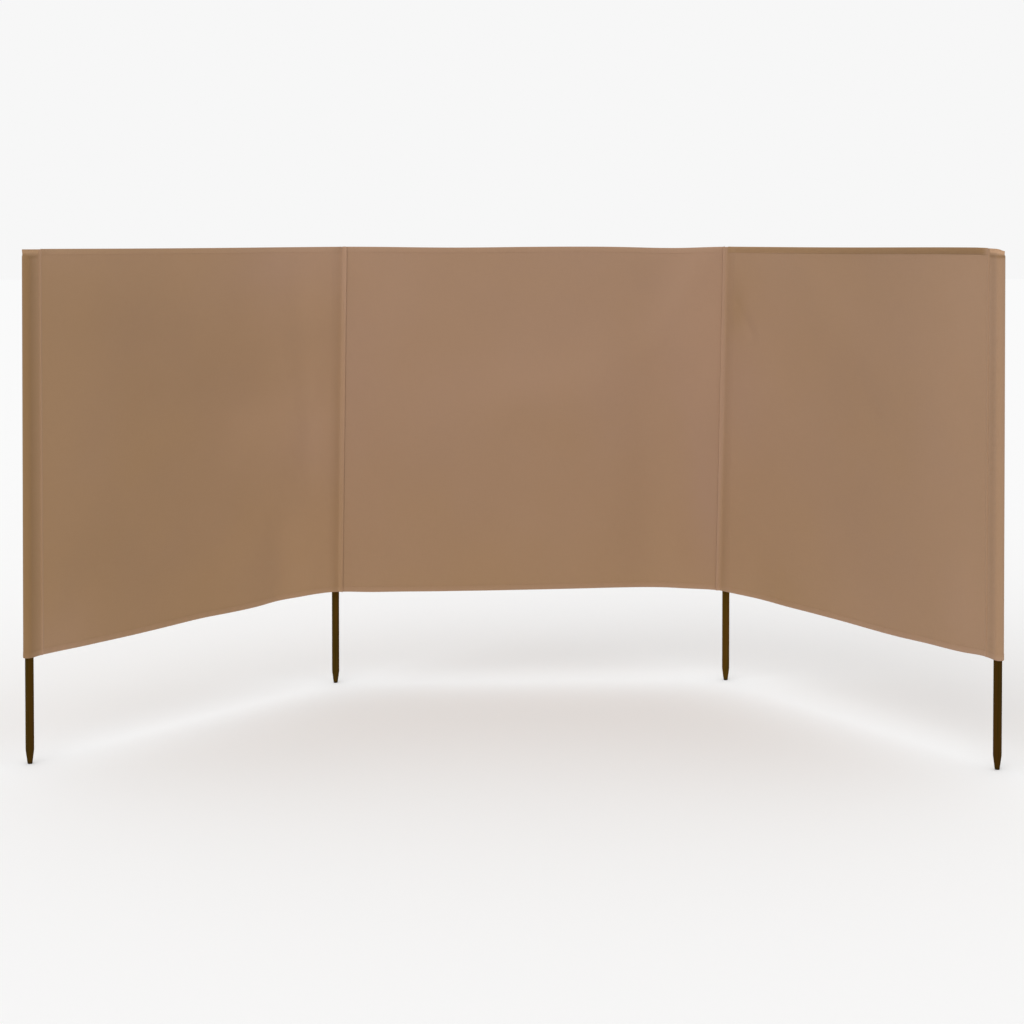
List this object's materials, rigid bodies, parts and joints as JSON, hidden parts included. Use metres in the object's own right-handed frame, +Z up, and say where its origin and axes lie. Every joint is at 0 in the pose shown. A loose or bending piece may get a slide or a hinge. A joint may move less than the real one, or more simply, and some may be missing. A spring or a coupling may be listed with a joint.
{
  "type": "fabric windbreak",
  "caption": "Folding fabric windbreak: taupe cloth bays sewn between dark wooden poles in shut-topped sleeves, the end bays swung forward to shelter a space.",
  "frame": {"origin": "centre of the blunt tip of the inner left pole, at the lowest level of the poles", "axes": "+X along the centre bay to the right as seen from the sheltered side, +Y to the back, away from the sheltered side, +Z up along the poles"},
  "size_m": [2.8577, 1.1829, 1.5153],
  "materials": {
    "pole_wood": "dark brown stained softwood, matt to satin",
    "screen_cloth": "taupe woven polyester, matt, sewn in the same colour"
  },
  "bodies": {
    "centre_bay": {"inner_left_pole": "pole_wood", "inner_left_sleeve": "screen_cloth", "inner_left_sleeve_top": "screen_cloth", "inner_left_seam": "screen_cloth", "inner_right_pole": "pole_wood", "inner_right_sleeve": "screen_cloth", "inner_right_sleeve_top": "screen_cloth", "inner_right_seam": "screen_cloth", "centre_panel": "screen_cloth", "centre_top_hem": "screen_cloth", "centre_bottom_hem": "screen_cloth"},
    "left_bay": {"outer_left_pole": "pole_wood", "outer_left_sleeve": "screen_cloth", "outer_left_sleeve_top": "screen_cloth", "outer_left_seam": "screen_cloth", "left_panel": "screen_cloth", "left_top_hem": "screen_cloth", "left_bottom_hem": "screen_cloth"},
    "right_bay": {"outer_right_pole": "pole_wood", "outer_right_sleeve": "screen_cloth", "outer_right_sleeve_top": "screen_cloth", "outer_right_seam": "screen_cloth", "right_panel": "screen_cloth", "right_top_hem": "screen_cloth", "right_bottom_hem": "screen_cloth"}
  },
  "joints": [
    {"name": "left_bay_fold", "type": "hinge", "parent": "centre_bay", "child": "left_bay", "pos_m": [0.02046, -0.02194, 0], "axis": [0, 0, 1], "range_deg": [-49, 66]},
    {"name": "right_bay_fold", "type": "hinge", "parent": "centre_bay", "child": "right_bay", "pos_m": [1.34046, -0.02194, 0], "axis": [0, 0, -1], "range_deg": [-60, 55]}
  ]
}
